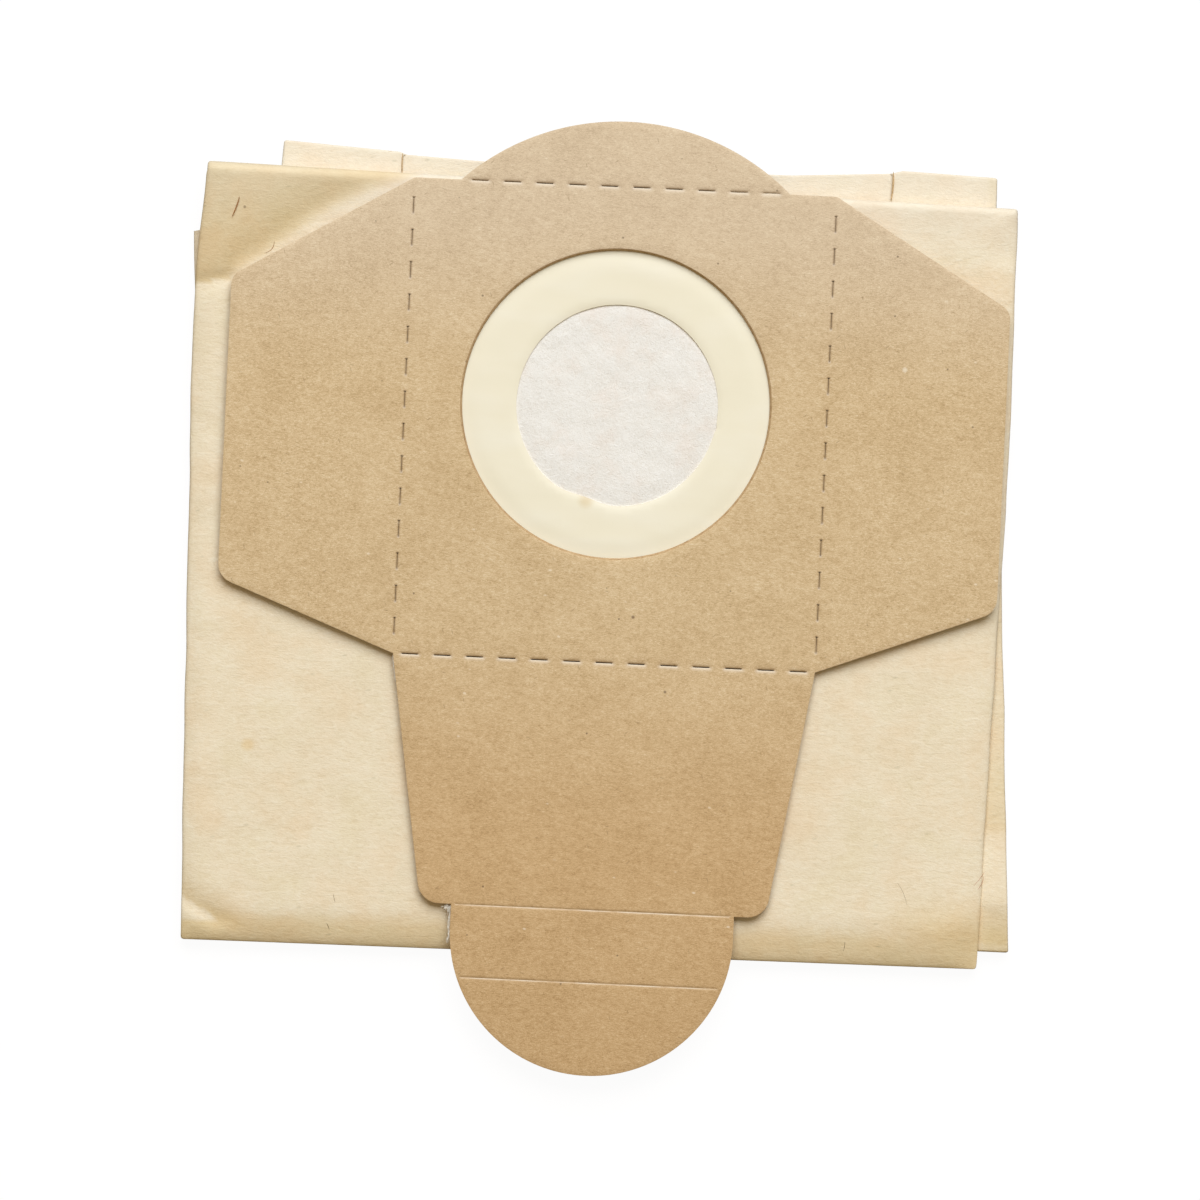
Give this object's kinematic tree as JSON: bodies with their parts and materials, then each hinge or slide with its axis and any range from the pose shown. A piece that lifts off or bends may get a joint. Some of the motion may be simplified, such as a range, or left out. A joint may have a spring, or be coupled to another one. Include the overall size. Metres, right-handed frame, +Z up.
{
  "type": "vacuum dust bag",
  "caption": "Folded paper dust bag for a wet and dry vacuum, with a perforated kraft collar card and a rubber sealing ring round the inlet.",
  "frame": {"origin": "on the surface the bag lies on, straight under the middle of the inlet in the card", "axes": "+Z up, out of the inlet; +Y towards the arched lobe of the card, -Y towards its tongue; +X to the right seen from above"},
  "size_m": [0.2095, 0.236, 0.0102],
  "materials": {
    "kraft_board": "matte unbleached kraft board with short fibres and flecks",
    "seal_rubber": "smooth cream natural rubber, soft sheen",
    "filter_paper": "matte cream filter paper, softly mottled",
    "inner_tissue": "matte off-white tissue with a fuzzy face"
  },
  "bodies": {
    "root": {"collar_card": "kraft_board", "seal_membrane": "seal_rubber", "paper_bag": "filter_paper", "inner_ply": "inner_tissue"}
  },
  "joints": []
}
